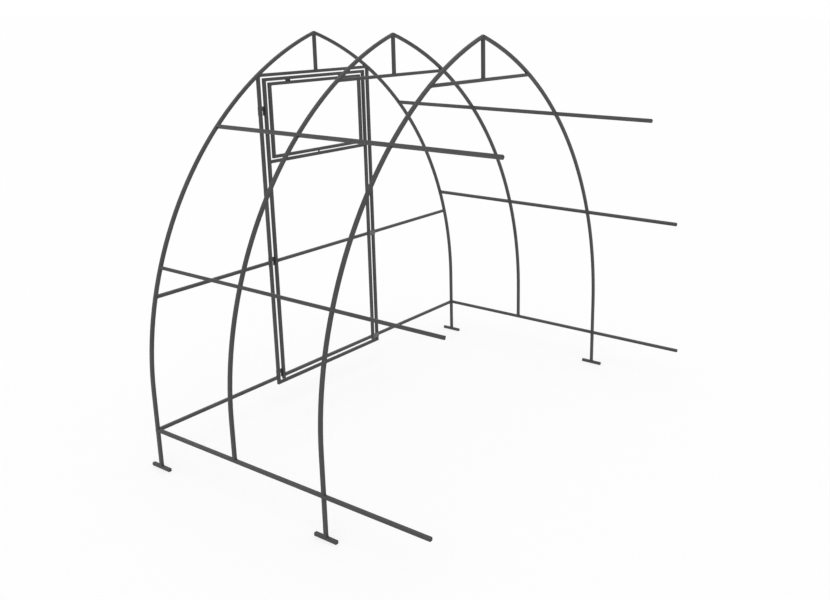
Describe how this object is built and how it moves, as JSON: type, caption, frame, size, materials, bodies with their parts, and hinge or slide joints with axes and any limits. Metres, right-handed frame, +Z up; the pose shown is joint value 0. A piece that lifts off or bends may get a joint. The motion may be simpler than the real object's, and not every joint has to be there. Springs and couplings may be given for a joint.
{
  "type": "greenhouse frame",
  "caption": "Arched greenhouse frame of square steel tube: pointed hoops on base rails, purlins, T feet, and an end wall with a hinged door and vent sash.",
  "frame": {"origin": "middle of the footprint at floor level, under the soles of the feet", "axes": "+X to the right of someone facing the door from outside, +Y from the door into the greenhouse, +Z up"},
  "size_m": [3.02, 2.202, 2.6062],
  "materials": {
    "frame_paint": "satin dark grey powder coat",
    "fittings": "satin dark grey paint over zinc, rubbed at the edges"
  },
  "bodies": {
    "frame": {"door_hoop_left": "frame_paint", "door_hoop_right": "frame_paint", "door_tie": "frame_paint", "door_king_post": "frame_paint", "middle_hoop_left": "frame_paint", "middle_hoop_right": "frame_paint", "middle_tie": "frame_paint", "middle_king_post": "frame_paint", "rear_hoop_left": "frame_paint", "rear_hoop_right": "frame_paint", "rear_tie": "frame_paint", "rear_king_post": "frame_paint", "base_rail_left": "frame_paint", "lower_purlin_left": "frame_paint", "upper_purlin_left": "frame_paint", "end_sill_left": "frame_paint", "end_girt_left": "frame_paint", "door_post_left": "frame_paint", "base_rail_right": "frame_paint", "lower_purlin_right": "frame_paint", "upper_purlin_right": "frame_paint", "end_sill_right": "frame_paint", "end_girt_right": "frame_paint", "door_post_right": "frame_paint", "foot_stems_front": "frame_paint", "foot_stems_rear": "frame_paint", "foot_bars_front": "frame_paint", "foot_bars_rear": "frame_paint", "door_threshold": "frame_paint", "door_stops": "fittings", "door_hinge_pins": "fittings"},
    "door": {"leaf_stile_left": "frame_paint", "leaf_stile_right": "frame_paint", "leaf_top_rail": "frame_paint", "leaf_bottom_rail": "frame_paint", "leaf_lock_rail": "frame_paint", "leaf_vent_rail": "frame_paint", "sash_stile_left": "frame_paint", "sash_stile_right": "frame_paint", "sash_top_rail": "frame_paint", "sash_bottom_rail": "frame_paint", "door_hinge_knuckles": "fittings", "vent_hinges": "fittings", "vent_catch": "fittings"}
  },
  "joints": [
    {"name": "door_hinge", "type": "hinge", "parent": "frame", "child": "door", "pos_m": [0.49257, -1.037, 1.3], "axis": [0, 0, 1], "range_deg": [0, 160]}
  ]
}
